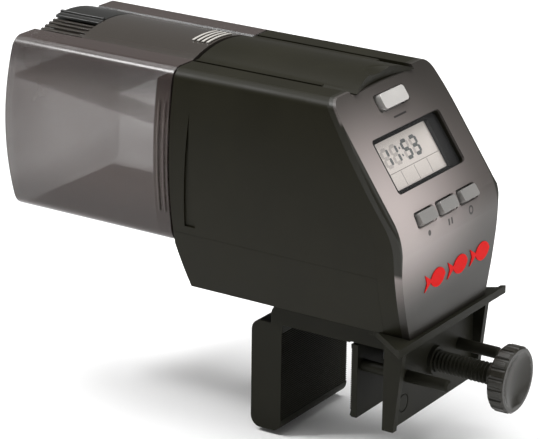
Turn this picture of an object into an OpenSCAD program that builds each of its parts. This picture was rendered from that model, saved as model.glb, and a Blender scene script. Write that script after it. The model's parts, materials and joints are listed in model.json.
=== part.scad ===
// Automatic fish feeder that clamps to the rim of an aquarium.
// Millimetres, +Z up. The origin is the middle of the flat seat that rests on the tank's rim,
// +X points to the control panel and the user, and the food hopper hangs out over the water at -X.

/* [Body] */
// Length of the body from the hopper seam to the upright front face
body_len = 93.5; // [92:0.5:113]
// Distance from the middle of the rim gap to the upright front face
front_reach = 39.5; // [37:0.5:44]
// Greatest width of the body and the hopper
shell_w = 70; // [68:1:84]
// Height of the hopper, and of the body above the hopper's underside
shell_h = 64; // [62:1:77]
// How far the body reaches below the hopper
skirt_drop = 17; // [15:0.5:20.5]
// Radius of the bulging sides
side_r = 140; // [117:1:170]
// Rounding of the long top edges
shoulder_r = 5; // [4:0.5:6]
// Wall thickness of the body mouldings
wall = 2.2; // [1.8:0.1:2.7]
// Height of the body's bottom cover, from its underside to its parting line
cover_h = 22; // [20:0.5:25]
// Inward lean of the rear wall below the hopper
rear_lean = 3.5; // [0:0.5:5]
// Gap between the turning hopper and the body
seam_gap = 0.8; // [0.5:0.1:1.2]

/* [Face] */
// Tilt of the upper face from upright, in degrees
face_tilt = 34.4; // [30:0.2:38]
// Height above the body's underside where the tilted and the upright face lines meet
face_break = 37.9; // [34:0.1:42]
// Radius of the bend between the tilted and the upright face
bend_r = 24; // [17:0.5:26]
// Rounding of the face's side corners
corner_r = 3.5; // [3:0.5:5]
// Depth of the front ring behind the face
ring_depth = 10; // [8.5:0.5:12]
// Depth of the control panel's side returns
panel_return = 3; // [2.8:0.1:6.5]

/* [Crown] */
// Width of the raised arch along the top
crown_w = 38; // [34:1:42]
// Radius of the arch
crown_r = 50; // [45:1:60]
// Rise of the arch above the side rails
crown_rise = 3; // [2.5:0.1:3.5]
// Width of the groove on each side of the arch
groove_w = 1.5; // [1.2:0.1:1.8]
// Depth of that groove
groove_d = 1.2; // [1:0.1:1.4]
// Overhang of the arch's front corners in front of the face
brow = 3; // [2:0.5:4]

/* [Controls] */
// Size of the display opening, across and up the face
window = [45.4, 20.5]; // [17:0.1:54]
// Middle of the display opening, measured up the face from the panel's datum
window_up = 0.9; // [0:0.1:2]
// Size of the manual feed button's cap, across and up the face
feed_cap = [15.6, 5.6]; // [4.8:0.1:18.7]
// Place of the feed button up the face
feed_up = 21.3; // [20:0.1:22.5]
// Size of each setting button's cap
set_cap = [10.4, 4.4]; // [3.6:0.1:11]
// Margin between a setting button and the rim of its well, across and up the face
set_margin = [1.3, 0.7]; // [0.5:0.1:1.5]
// Depth of the wells round the setting buttons
well_depth = 1.6; // [1.2:0.1:1.6]
// Spacing of the three setting buttons
set_pitch = 14.3; // [13.5:0.1:16]
// Height of the feed button's cap above the face
cap_rise = 1.5; // [1:0.1:2]
// Place of the setting buttons down the face
set_down = 19.7; // [19:0.1:21]
// Travel of every button
press = 0.8; // [0.5:0.1:1]

/* [Hopper] */
// Length of the hopper along its axis
hopper_len = 69; // [58:1:83]
// Wall of the hopper
hopper_wall = 1.8; // [1.5:0.1:2.2]
// How far the hopper's outer end bulges
end_bulge = 2; // [1.5:0.1:2.5]
// Rounding of the hopper's lower long edges
hopper_corner = 6; // [5:0.5:8]
// Thickness of the sliding lid
lid_t = 1.6; // [1.3:0.1:2]
// Running gap round the lid and the dosing gate
slide_gap = 0.3; // [0.2:0.05:0.4]
// Length of the dosing shelf at the lid's outer end
shelf_len = 20; // [18:1:24]
// Width of the dosing gate along the arch
gate_w = 23; // [20:1:24]

/* [Drive] */
// Gear module
gear_m = 0.5; // [0.5:0.05:0.5]
// Teeth of each pinion, idler wheel and output gear
teeth = [10, 40, 50]; // [10:1:60]
// Face width of every gear
gear_t = 3; // [2.5:0.1:3.4]
// Diameter of the drive shaft
shaft_d = 6; // [5:0.5:6.5]
// Radial running clearance of shafts in their bearings
run = 0.05; // [0.03:0.01:0.08]
// Distance across the coupler's flats
coupler_af = 12; // [10:0.5:13]

/* [Clamp] */
// Thickness of the saddle between the rim seat and the body
saddle_t = 8; // [7:0.5:9]
// Width of both jaws and the saddle
jaw_w = 44.6; // [38:0.2:50]
// Opening between the jaws as it is drawn
rim_gap = 28.2; // [24:0.2:31]
// Depth of the fixed rear jaw below the seat
rear_jaw_h = 41; // [35:1:49]
// Thickness of the rear jaw
rear_jaw_t = 12.8; // [11:0.2:15]
// Depth of the movable jaw below the seat
front_jaw_h = 27.6; // [24:0.2:33]
// Thickness of the movable jaw
front_jaw_t = 2.8; // [2.6:0.2:3.4]
// Pitch of the grip ribs on both jaws
rib_pitch = 0.8; // [0.7:0.05:1]
// Outer width of the saddle's flared front lip
lip_w = 75; // [70:1:84]
// Distance of the bracket's front plate from the middle of the gap
plate_x = 31.8; // [30.5:0.1:34]
// Width across the bracket's side fins
bracket_w = 60.6; // [58:0.2:70]
// Depth of the front plate below the seat
plate_h = 25.5; // [24:0.5:30]
// Height of the clamp screw's axis below the seat
screw_drop = 9; // [8.5:0.5:10]
// Diameter of the clamp screw
screw_d = 7.8; // [6.6:0.2:9]
// Pitch of the clamp screw's thread
screw_pitch = 1.5; // [1.25:0.25:1.75]
// Diameter of the clamp knob
knob_d = 23.8; // [20:0.2:28]
// Diameter and spacing of the guide pins
pin_d = 4.3; // [3.6:0.1:5]
// Spacing of the guide pins
pin_gap = 36; // [34:0.5:37]

/* [Hidden] */
$fn = 96;

// Levels and stations of the body
bottom_z = saddle_t;
hopper_z = bottom_z + skirt_drop;
top_z = hopper_z + shell_h;
mid_z = (hopper_z + top_z) / 2;
part_z = bottom_z + cover_h;
crown_z = top_z + crown_rise - crown_r;
seam_x = front_reach - body_len;
rear_x = seam_x + seam_gap / 2;
hopper_x = seam_x - seam_gap / 2;
hopper_end = hopper_x - hopper_len;
break_z = bottom_z + face_break;
bend_z = break_z - bend_r * tan(face_tilt / 2);
bend_x = front_reach - bend_r;
side_limit = shell_w / 2 + 1;
far = 200;
fit = 0.15;

// Panel datum: a point on the tilted face, with x across, y up the face and z out of it
datum_z = break_z + 19.1;
datum_x = front_reach - (datum_z - break_z) * tan(face_tilt);
module on_face() {
  translate([datum_x, 0, datum_z]) rotate([0, -face_tilt, 0]) rotate([90, 0, 90]) children();
}
// Extrudes a drawing made in the YZ plane along X
module along_x(from, to) { translate([from, 0, 0]) rotate([90, 0, 90]) linear_extrude(to - from) children(); }
// Extrudes a drawing made in the XZ plane across the whole width
module across(half) { translate([0, half, 0]) rotate([90, 0, 0]) linear_extrude(2 * half) children(); }
module rounded(w, h, r) {
  square([w - 2 * r, h], center = true);
  square([w, h - 2 * r], center = true);
  for (x = [-1, 1], y = [-1, 1]) translate([x * (w / 2 - r), y * (h / 2 - r)]) circle(r);
}
module rod(from, to, r) { translate([from, 0, 0]) rotate([0, 90, 0]) cylinder(h = to - from, r = r); }
module above(z) { translate([-far, -far, z]) cube([2 * far, 2 * far, far]); }
module below(z) { translate([-far, -far, z - far]) cube([2 * far, 2 * far, far]); }

// ---- Shared cross-section, inset by e; it bulges at the sides and has rounded long edges ----
module flanks(e, low, low_r) {
  big_r = side_r - e;
  arc_y = shell_w / 2 - side_r;
  levels = [low + e, top_z - e];
  radii = [max(low_r - e, 0.8), max(shoulder_r - e, 0.8)];
  // Middle of each corner circle, and the level where it meets the side's arc
  cz = [levels[0] + radii[0], levels[1] - radii[1]];
  cy = [for (i = [0, 1]) arc_y + sqrt(pow(big_r - radii[i], 2) - pow(cz[i] - mid_z, 2))];
  meet = [for (i = [0, 1]) mid_z + (cz[i] - mid_z) * big_r / (big_r - radii[i])];
  intersection() {
    translate([arc_y, mid_z]) circle(big_r, $fn = 1200);
    translate([-arc_y, mid_z]) circle(big_r, $fn = 1200);
    translate([-shell_w, levels[0]]) square([2 * shell_w, levels[1] - levels[0]]);
    union() {
      translate([-shell_w, meet[0]]) square([2 * shell_w, meet[1] - meet[0]]);
      for (i = [0, 1]) {
        translate([-cy[i], levels[0] - 1]) square([2 * cy[i], levels[1] - levels[0] + 2]);
        for (s = [-1, 1]) translate([s * cy[i], cz[i]]) circle(radii[i] + 0.02);
      }
    }
  }
}
module arch(e) {
  intersection() {
    translate([0, crown_z]) circle(crown_r - e, $fn = 600);
    translate([e - crown_w / 2, top_z - 6]) square([crown_w - 2 * e, 20]);
  }
}
module groove_cuts() {
  for (s = [-1, 1]) translate([s * (crown_w + groove_w) / 2 - groove_w / 2, top_z - groove_d])
    square([groove_w, 2 * groove_d]);
}

// ---- Front shape: the tilted, bent and upright face, with rounded corners along both sides ----
module face_profile(e) {
  r = bend_r - e;
  polygon([[-far, -far], [front_reach - e, -far], [front_reach - e, bend_z],
    [bend_x + r * cos(face_tilt), bend_z + r * sin(face_tilt)],
    [bend_x + r * cos(face_tilt) - far * sin(face_tilt), bend_z + r * sin(face_tilt) + far * cos(face_tilt)],
    [-2 * far, far]]);
  translate([bend_x, bend_z]) circle(r + 0.02, $fn = 400);
}
module front_plan(e) {
  half = side_limit - e;
  r = corner_r - e;
  translate([-far, -half]) square([far - e - r, 2 * half]);
  translate([-e - r - 1, r - half]) square([r + 1, 2 * (half - r)]);
  for (s = [-1, 1]) translate([-e - r, s * (half - r)]) circle(r);
}
module behind_face(depth) { across(2 * shell_w) face_profile(depth); }
// The closed outer form of the body, or its hollow when e is the wall
module body_solid(e, arched = true) {
  intersection() {
    along_x(rear_x, front_reach + 1) difference() {
      union() {
        flanks(e, bottom_z, 3);
        if (arched) arch(e);
      }
      if (e == 0) groove_cuts();
    }
    intersection() {
      behind_face(e);
      translate([front_reach, 0, -far]) linear_extrude(2 * far) front_plan(e);
      translate([bend_x, 0, bend_z]) rotate([0, -face_tilt, 0])
        translate([bend_r, 0, -far]) linear_extrude(2 * far) front_plan(e);
    }
    across(shell_w) polygon([[rear_x + e, far], [rear_x + e, hopper_z],
      [rear_x + rear_lean + e, bottom_z + e], [far, bottom_z + e], [far, far]]);
  }
}

// ---- Hopper ----
lid_floor = top_z - 3;
lid_foot = 1.1;
foot_w = crown_w + 2 * groove_w + 1;
mouth = [hopper_len - 21, 30];
mouth_x = hopper_end + 5;
hub_x = hopper_x - 7.3;
module hopper_profile(e) {
  h = shell_h / 2;
  r = (h * h + end_bulge * end_bulge) / (2 * end_bulge);
  intersection() {
    translate([hopper_end - end_bulge + r, mid_z]) circle(r - e, $fn = 1200);
    translate([hopper_end - end_bulge - 1, hopper_z - 1]) square([hopper_x - hopper_end + end_bulge + 1, shell_h + 5]);
  }
}
module hopper_shell() {
  color([0.5, 0.46, 0.44, 0.75]) difference() {
    intersection() {
      along_x(hopper_end - end_bulge - 1, hopper_x) difference() {
        flanks(0, hopper_z, hopper_corner);
        translate([-crown_w / 2 - slide_gap, lid_floor]) square([crown_w + 2 * slide_gap, 10]);
        translate([-foot_w / 2 - slide_gap, lid_floor])
          square([foot_w + 2 * slide_gap, lid_foot + 2 * slide_gap]);
      }
      across(shell_w) hopper_profile(0);
    }
    intersection() {
      along_x(hopper_end - end_bulge, hopper_x + 1) difference() {
        flanks(hopper_wall, hopper_z, hopper_corner);
        translate([-shell_w, lid_floor - hopper_wall]) square([2 * shell_w, 20]);
      }
      across(shell_w) translate([0.01, 0]) hopper_cavity();
    }
    translate([mouth_x, -mouth[1] / 2, lid_floor - 5]) cube([mouth[0], mouth[1], 6]);
  }
  color([0.5, 0.46, 0.44, 0.75]) for (x = [hopper_x - 4, hopper_x - 1.6]) intersection() {
    along_x(x - 0.4, x + 0.4) difference() {
      flanks(-0.5, hopper_z, hopper_corner);
      flanks(0.4, hopper_z, hopper_corner);
    }
    translate([-far, -far, mid_z - 20]) cube([2 * far, far, 40]);
  }
}
module hopper_cavity() {
  h = shell_h / 2;
  r = (h * h + end_bulge * end_bulge) / (2 * end_bulge);
  intersection() {
    translate([hopper_end - end_bulge + r, mid_z]) circle(r - hopper_wall, $fn = 1200);
    translate([hopper_end - end_bulge, hopper_z]) square([hopper_x - hopper_end + end_bulge + 2, shell_h]);
  }
}
hub_inset = hopper_wall + fit;
module hub_section(e) {
  difference() {
    flanks(hub_inset + e, hopper_z, hopper_corner);
    translate([-shell_w, lid_floor - hub_inset - e]) square([2 * shell_w, 20]);
  }
}
module hopper_hub() {
  color([0.12, 0.12, 0.12]) difference() {
    union() {
      along_x(hub_x, hub_x + 1.6) hub_section(0);
      along_x(hub_x, hopper_x) difference() {
        hub_section(0);
        hub_section(1.6);
      }
      translate([0, 0, mid_z]) rod(hub_x, hopper_x, coupler_af * 0.577 + 3);
      for (a = [45:90:315]) translate([0, 0, mid_z]) rotate([a, 0, 0])
        translate([hub_x + 1, -0.8, 8]) cube([4, 1.6, 14]);
    }
    translate([hopper_x - 6, 0, mid_z]) rotate([0, 90, 0])
      cylinder(h = 10, d = (coupler_af + 0.2) / cos(30), $fn = 6);
  }
}
module food_guide() {
  guide_t = 1.2;
  color([0.6, 0.56, 0.53, 0.7]) difference() {
    intersection() {
      along_x(hopper_end - end_bulge, hub_x - 0.1) flanks(hub_inset, hopper_z, hopper_corner);
      across(shell_w) hopper_profile(hopper_wall + fit);
      across(shell_w) polygon([[hopper_end - end_bulge, mid_z + 17.5], [hub_x, mid_z + 10.5],
        [hub_x, mid_z + 10.5 + guide_t], [hopper_end - end_bulge, mid_z + 17.5 + guide_t]]);
    }
    translate([hub_x - 26, -20, mid_z]) cube([18, 40, 30]);
  }
}
lid_end = hopper_x - 0.9;
lid_len = lid_end - hopper_end;
module lid_arch(e) {
  intersection() {
    translate([0, crown_z]) circle(crown_r - e, $fn = 600);
    translate([e - crown_w / 2, lid_floor + slide_gap]) square([crown_w - 2 * e, 20]);
  }
}
slot_y = [-15.4, -13, -10.6, -8.2];
shelf_depth = 1.8;
slot_rise = 0.6;
module hopper_lid() {
  color([0.45, 0.42, 0.4, 0.8]) difference() {
    union() {
      along_x(hopper_end, lid_end) {
        difference() {
          lid_arch(0);
          difference() {
            lid_arch(lid_t);
            translate([-crown_w, 0]) square([2 * crown_w, lid_floor + slide_gap + lid_foot]);
          }
        }
        translate([-foot_w / 2, lid_floor + slide_gap]) square([foot_w, lid_foot]);
      }
      // Backing that carries the dosing shelf
      along_x(hopper_end, hopper_end + shelf_len + 1.6) lid_arch(lid_t - 0.5);
      // Thumb ribs
      for (i = [0:3]) along_x(lid_end - 8 + 2 * i, lid_end - 7.1 + 2 * i) difference() {
        intersection() {
          translate([0, crown_z]) circle(crown_r + 0.6, $fn = 600);
          translate([-7, top_z]) square([15, 10]);
        }
        translate([0, crown_z]) circle(crown_r - 0.4, $fn = 600);
      }
    }
    // Shelf that the gate slides on, with its four outlet slots
    along_x(hopper_end - 1, hopper_end + shelf_len) difference() {
      intersection() {
        translate([0, crown_z]) circle(crown_r + 5, $fn = 600);
        translate([-crown_w / 2 - 1, top_z - 6]) square([crown_w + 2, 20]);
      }
      translate([0, crown_z]) circle(crown_r - shelf_depth, $fn = 600);
      for (y = slot_y) translate([y - 0.5, top_z - 6]) intersection() {
        square([1, 20]);
        translate([0.5 - y, crown_z - top_z + 6]) circle(crown_r - shelf_depth + slot_rise, $fn = 600);
      }
    }
    for (y = slot_y) translate([hopper_end + 4, y + 0.5, lid_floor - 1]) cube([shelf_len - 8, 1.4, 10]);
    translate([hopper_end + shelf_len + 1.6, -crown_w / 2 + 4, lid_floor - 1])
      cube([lid_len - shelf_len - 13, crown_w - 8, 1 + slide_gap + lid_foot + 0.05]);
  }
}
module dosing_gate() {
  gate_mid = 4.2;
  color([0.08, 0.08, 0.08]) union() {
    along_x(hopper_end + 0.3, hopper_end + shelf_len - slide_gap) intersection() {
      difference() {
        translate([0, crown_z]) circle(crown_r + 0.1, $fn = 600);
        translate([0, crown_z]) circle(crown_r - shelf_depth + slot_rise + slide_gap / 2, $fn = 600);
      }
      translate([gate_mid - gate_w / 2, top_z - 4]) square([gate_w, 20]);
    }
    along_x(hopper_end + 0.3, hopper_end + shelf_len - slide_gap) intersection() {
      difference() {
        translate([0, crown_z]) circle(crown_r + 0.9, $fn = 600);
        translate([0, crown_z]) circle(crown_r - 1, $fn = 600);
      }
      translate([-4.6, top_z]) square([1.2, 20]);
    }
  }
}

// ---- Body mouldings ----
bay = [-29, 26, 15, 42.5];
boss_at = [[seam_x + 10, -19], [seam_x + 10, 19], [18, -20]];
saddle_screw_x = [-9, 9];
module crown_tongue(gap) {
  tongue_x = front_reach - (top_z - break_z) * tan(face_tilt) + brow - 1;
  difference() {
    along_x(gap > 0 ? rear_x - 1 : rear_x, tongue_x) intersection() {
      translate([0, crown_z]) circle(crown_r + gap * 20, $fn = 600);
      translate([-crown_w / 2 - gap, top_z - groove_d + 0.1 - gap]) square([crown_w + 2 * gap, 30]);
    }
    if (gap == 0) {
      translate([tongue_x + 58.7, 0, 0]) cylinder(h = far, r = 61.7, $fn = 1200);
      translate([tongue_x + 2, 0, crown_z + crown_r + 23]) sphere(25);
    }
  }
}
module bay_cut() { translate([bay[0], 0, bay[2]]) cube([bay[1] - bay[0], far, bay[3] - bay[2]]); }
module side_mark() {
  across(far) polygon([[rear_x + 5.2, mid_z - 24], [rear_x + 9.6, mid_z - 24], [rear_x + 7.6, mid_z + 17.5]]);
}
module housing_main() {
  color([0.1, 0.1, 0.095]) difference() {
    union() {
      intersection() {
        difference() {
          body_solid(0);
          body_solid(wall);
        }
        behind_face(ring_depth);
        above(part_z);
      }
      difference() {
        crown_tongue(0);
        behind_face(ring_depth + 1);
      }
      // Gear posts and the bush boss stand on the rear wall
      for (p = post_at) translate([0, p[0], p[1]]) rod(rear_x + wall - 0.5, plate_in, 3);
      for (p = idler_at) translate([0, p[0], p[1]]) rod(rear_x + wall - 0.5, layer_x[0] - 0.4, 2);
      for (p = boss_at) intersection() {
        translate([p[0], p[1], part_z]) union() {
          cylinder(h = 12, r = 3.2);
          translate([-0.9, p[1] < 0 ? -shell_w : 0, 0]) cube([1.8, shell_w, 10]);
        }
        body_solid(wall - 0.4);
      }
    }
    translate([0, 0, mid_z]) rod(rear_x - 1, rear_x + 10, shaft_d / 2 + 2);
    for (p = post_at) translate([0, p[0], p[1]]) rod(plate_in - 8, plate_in + 1, 1.1);
    for (p = idler_at) translate([0, p[0], p[1]]) rod(rear_x + 0.8, rear_x + 10, 1);
    for (p = boss_at) translate([p[0], p[1], part_z - 1]) cylinder(h = 9, r = 1.2);
    bay_cut();
    for (s = [-1, 1]) difference() {
      side_mark();
      along_x(-far, far) flanks(0.7, bottom_z, 3);
    }
  }
}
module bottom_cover() {
  color([0.1, 0.1, 0.095]) difference() {
    union() {
      intersection() {
        difference() {
          body_solid(0);
          body_solid(wall);
        }
        behind_face(ring_depth);
        below(part_z);
      }
      for (p = boss_at) translate([p[0], p[1], bottom_z + 0.5]) cylinder(h = part_z - bottom_z - 0.5, r = 3.8);
      for (x = saddle_screw_x) translate([x, 0, bottom_z + 0.5]) cylinder(h = 11.5, r = 3.4);
    }
    for (p = boss_at) translate([p[0], p[1], 0]) {
      cylinder(h = far, r = 1.5);
      cylinder(h = part_z - 5, r = 2.9);
    }
    for (x = saddle_screw_x) translate([x, 0, 0]) cylinder(h = bottom_z + 9, r = 1.3);
    bay_cut();
  }
}
module front_ring() {
  color([0.1, 0.1, 0.095]) difference() {
    body_solid(0);
    body_solid(wall, false);
    behind_face(ring_depth);
    difference() {
      below(top_z - wall);
      behind_face(panel_return);
    }
    difference() {
      above(top_z - wall - 1);
      behind_face(wall);
    }
    crown_tongue(0.1);
  }
}
set_x = [-set_pitch, 0, set_pitch];
boss_face = [[-24, 23.5], [24, 23.5], [-24, -21.5], [24, -21.5]];
pcb_out = -8.2;
pcb_t = 1.6;
button_gap = 0.35;
module control_panel() {
  color([0.3, 0.29, 0.28]) difference() {
    union() {
      difference() {
        body_solid(0);
        body_solid(wall, false);
        behind_face(panel_return);
        intersection() {
          behind_face(wall);
          above(top_z - wall);
        }
        crown_tongue(0.1);
      }
      on_face() for (p = boss_face) translate([p[0], p[1], pcb_out]) cylinder(h = -pcb_out - 1.5, r = 2.6);
    }
    on_face() {
      translate([0, window_up, -5]) linear_extrude(10) rounded(window[0], window[1], 1.5);
      translate([0, feed_up, -1]) linear_extrude(5) rounded(feed_cap[0] + 4.4, feed_cap[1] + 0.9, 1.2);
      translate([0, feed_up, -5]) linear_extrude(10)
        rounded(feed_cap[0] + 2 * button_gap, feed_cap[1] + 2 * button_gap, 1.7);
      for (x = set_x) translate([x, -set_down, 0]) {
        translate([0, 0, -5]) linear_extrude(10)
          rounded(set_cap[0] + 2 * button_gap, set_cap[1] + 2 * button_gap, 1.2);
        translate([0, 0, -well_depth]) linear_extrude(5)
          rounded(set_cap[0] + 2 * set_margin[0], set_cap[1] + 2 * set_margin[1], 1.2);
      }
      for (p = boss_face) translate([p[0], p[1], pcb_out - 1]) cylinder(h = 5, r = 0.9);
    }
  }
}
// Plain row of three fish on the upright part of the face
module panel_emblem() {
  fish_len = 14;
  fish_pitch = 15.6;
  fish_h = 6.8;
  fish_mid = [5, bottom_z + 17.6];
  body_r = (pow(fish_len * 0.36, 2) + pow(fish_h / 2, 2)) / fish_h;
  color([0.85, 0.12, 0.1]) translate([front_reach, fish_mid[0], fish_mid[1]])
    rotate([90, 0, 90]) linear_extrude(0.3) for (i = [-1:1]) translate([i * fish_pitch, 0]) {
      intersection() {
        translate([fish_len * 0.14, body_r - fish_h / 2]) circle(body_r);
        translate([fish_len * 0.14, fish_h / 2 - body_r]) circle(body_r);
      }
      polygon([[-fish_len * 0.15, 0], [-fish_len / 2, fish_h * 0.46], [-fish_len * 0.4, 0],
        [-fish_len / 2, -fish_h * 0.46]]);
    }
}
module lcd_window() {
  color([0.75, 0.8, 0.8, 0.3]) on_face() translate([0, window_up, -wall - 0.8])
    linear_extrude(0.8) rounded(window[0] + 2.4, window[1] + 2.4, 1.5);
}
display = [35.4, 17.6];
module lcd_bezel() {
  color([0.03, 0.03, 0.03]) on_face() translate([0, window_up, -wall - 2.4]) linear_extrude(1.6) difference() {
    rounded(window[0] + 2.4, window[1] + 2.4, 1.5);
    rounded(display[0], display[1], 0.5);
  }
}
module lcd_glass() {
  color([0.75, 0.77, 0.74]) on_face() translate([0, window_up, -wall - 4.8])
    linear_extrude(2.4) square(display + [4, 3], center = true);
}
module lcd_holder() {
  color([0.8, 0.8, 0.78]) on_face() translate([0, window_up, pcb_out])
    linear_extrude(-wall - 4.8 - pcb_out) square(display + [5, 4], center = true);
}
stem_end = pcb_out + 3.1;
module press_button(cap, rise, flange, flange_top) {
  translate([0, 0, flange_top - 0.5]) linear_extrude(rise + 0.5 - flange_top)
    rounded(cap[0], cap[1], min(cap[0], cap[1]) * 0.24);
  translate([0, 0, flange_top - 1]) linear_extrude(1) square(cap + flange, center = true);
  translate([0, 0, stem_end]) cylinder(h = flange_top - 0.5 - stem_end, r = 1.5);
}
module feed_button() {
  color([0.8, 0.8, 0.8]) on_face() translate([0, feed_up, 0])
    press_button(feed_cap, cap_rise, [2, 2], -wall - 0.2);
}
// The setting buttons sit where the face begins to bend, so their flanges are lower and narrower
module set_button(x) {
  color([0.8, 0.8, 0.8]) on_face() translate([x, -set_down, 0])
    press_button(set_cap, cap_rise - 0.3, [1.8, 0.8], -wall - 1);
}
module set_button_left() { set_button(set_x[0]); }
module set_button_middle() { set_button(set_x[1]); }
module set_button_right() { set_button(set_x[2]); }
module main_pcb() {
  color([0.1, 0.35, 0.2]) on_face() difference() {
    translate([-27, -24.5, pcb_out - pcb_t]) cube([54, 50.5, pcb_t]);
    for (p = boss_face) translate([p[0], p[1], pcb_out - 5]) cylinder(h = 10, r = 1.1);
  }
}
module tact_switches() {
  color([0.15, 0.15, 0.15]) on_face() for (p = [[0, feed_up], [set_x[0], -set_down], [0, -set_down],
      [set_x[2], -set_down]]) translate([p[0], p[1], pcb_out]) {
    translate([-3, -2.1, 0]) cube([6, 4.2, 1.2]);
    cylinder(h = stem_end - pcb_out - press - 0.5, r = 1.1);
  }
}
module control_chip() {
  color([0.05, 0.05, 0.05]) on_face() translate([-6, -6, pcb_out - pcb_t - 1.6]) cube([12, 12, 1.6]);
}
module capacitors() {
  cap_r = 2.5;
  cap_h = 7;
  cap_out = pcb_out - pcb_t - cap_h;
  // Their lowest edge stays just clear of the battery holder's top
  cap_up = (holder_top + 0.1 - datum_z - cap_out * sin(face_tilt)) / cos(face_tilt) + cap_r;
  color([0.2, 0.25, 0.4]) on_face() for (x = [-17, 15]) translate([x, cap_up, cap_out])
    cylinder(h = cap_h, r = cap_r);
}
module self_tapper(r, len, head_r, head_h) {
  cylinder(h = len, r = r);
  translate([0, 0, -head_h]) difference() {
    cylinder(h = head_h, r = head_r);
    translate([-head_r * 0.6, -0.25, -1]) cube([head_r * 1.2, 0.5, 1.6]);
    translate([-0.25, -head_r * 0.6, -1]) cube([0.5, head_r * 1.2, 1.6]);
  }
}
module pcb_screws() {
  color([0.7, 0.7, 0.72]) on_face() for (p = boss_face) translate([p[0], p[1], pcb_out - pcb_t])
    self_tapper(0.85, 5, 2, 1.2);
}

// ---- Drive ----
pressure = 25;
addendum = 0.8;
dedendum = 1.05;
thinning = 0.05;
function deg(x) = x * 180 / PI;
function involute(r, base) = deg(sqrt(pow(r / base, 2) - 1)) - acos(base / r);
function half_tooth(n, r) =
  let (base = n * gear_m / 2 * cos(pressure), rr = max(r, base * 1.0005))
  90 / n - deg(thinning / (n * gear_m / 2)) + involute(n * gear_m / 2, base) - involute(rr, base);
function gear_points(n) =
  let (pr = n * gear_m / 2, tip = pr + addendum * gear_m, root = pr - dedendum * gear_m,
    radii = [root, pr, tip])
  [for (i = [0:n - 1]) let (a = i * 360 / n)
    each concat([for (r = radii) let (h = half_tooth(n, r)) [r * cos(a - h), r * sin(a - h)]],
      [for (k = [2:-1:0]) let (r = radii[k], h = half_tooth(n, r)) [r * cos(a + h), r * sin(a + h)]])];
module gear(n, phase, from, to) { along_x(from, to) rotate(phase) polygon(gear_points(n)); }
function pitch_r(n) = n * gear_m / 2;
function towards(p, a, d) = [p[0] + d * cos(a), p[1] + d * sin(a)];
pinion_n = teeth[0];
wheel_n = teeth[1];
output_n = teeth[2];
angle_b = 110;
angle_a = 215;
angle_m = 270;
shaft_at = [0, mid_z];
idler_b = towards(shaft_at, angle_b, pitch_r(output_n) + pitch_r(pinion_n));
idler_a = towards(idler_b, angle_a, pitch_r(wheel_n) + pitch_r(pinion_n));
motor_at = towards(idler_a, angle_m, pitch_r(wheel_n) + pitch_r(pinion_n));
idler_at = [idler_b, idler_a];
layer_pitch = gear_t + 0.7;
layer_x = [for (i = [0:2]) rear_x + wall + 1 + i * layer_pitch];
plate_in = layer_x[2] + gear_t + 1.4;
plate_t = 2;
post_at = [[-24, mid_z + 22], [13.5, mid_z + 22], [17, mid_z - 13], [-26, mid_z - 12]];
coupler_x = hopper_x - 5.8;
module at_shaft() { translate([0, 0, mid_z]) children(); }
module shaft_bush() {
  color([0.9, 0.88, 0.8]) at_shaft() difference() {
    rod(rear_x, rear_x + wall + 0.5, shaft_d / 2 + 2);
    rod(rear_x - 1, rear_x + 10, shaft_d / 2 + run);
  }
}
module drive_shaft() { color([0.75, 0.75, 0.77]) at_shaft() rod(coupler_x, plate_in + plate_t + 1, shaft_d / 2); }
module drive_coupler() {
  color([0.92, 0.92, 0.9]) at_shaft() difference() {
    translate([coupler_x, 0, 0]) rotate([0, 90, 0])
      cylinder(h = rear_x - 0.35 - coupler_x, d = coupler_af / cos(30), $fn = 6);
    rod(coupler_x - 1, rear_x, shaft_d / 2);
  }
}
module output_gear() {
  color([0.92, 0.92, 0.9]) difference() {
    translate([0, shaft_at[0], shaft_at[1]]) gear(output_n, angle_b, layer_x[0], layer_x[0] + gear_t);
    at_shaft() rod(rear_x, plate_in, shaft_d / 2);
    translate([0, magnet_at[0], magnet_at[1]]) rod(layer_x[0] + gear_t - 1.6, plate_in, 1.5);
  }
  color([0.92, 0.92, 0.9]) at_shaft() difference() {
    rod(layer_x[0] + gear_t, plate_in - 0.4, shaft_d / 2 + 1.4);
    rod(rear_x, plate_in, shaft_d / 2);
  }
}
magnet_at = [8.6, mid_z - 2];
module home_magnet() {
  color([0.6, 0.6, 0.62]) translate([0, magnet_at[0], magnet_at[1]])
    rod(layer_x[0] + gear_t - 1.6, layer_x[0] + gear_t, 1.5);
}
module reed_switch() {
  color([0.5, 0.7, 0.5]) {
    translate([plate_in - 1.2, magnet_at[0] - 2.2, magnet_at[1] - 8]) cube([1.2, 4.4, 16]);
    translate([plate_in - 2.2, magnet_at[0], magnet_at[1] - 5]) cylinder(h = 10, r = 1);
  }
}
module idler_gear_b() {
  color([0.92, 0.92, 0.9]) translate([0, idler_b[0], idler_b[1]]) difference() {
    union() {
      gear(pinion_n, angle_b + 180 + 180 / pinion_n, layer_x[0], layer_x[1] + 0.5);
      gear(wheel_n, angle_a, layer_x[1], layer_x[1] + gear_t);
    }
    rod(rear_x, plate_in, 1 + run);
  }
}
module idler_gear_a() {
  color([0.92, 0.92, 0.9]) translate([0, idler_a[0], idler_a[1]]) difference() {
    union() {
      gear(pinion_n, angle_a + 180 + 180 / pinion_n, layer_x[1], layer_x[2] + 0.5);
      gear(wheel_n, angle_m, layer_x[2], layer_x[2] + gear_t);
    }
    rod(rear_x, plate_in, 1 + run);
  }
}
module gear_pins() {
  color([0.75, 0.75, 0.77]) for (p = idler_at) translate([0, p[0], p[1]]) rod(rear_x + 1, plate_in + plate_t, 0.98);
}
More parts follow.
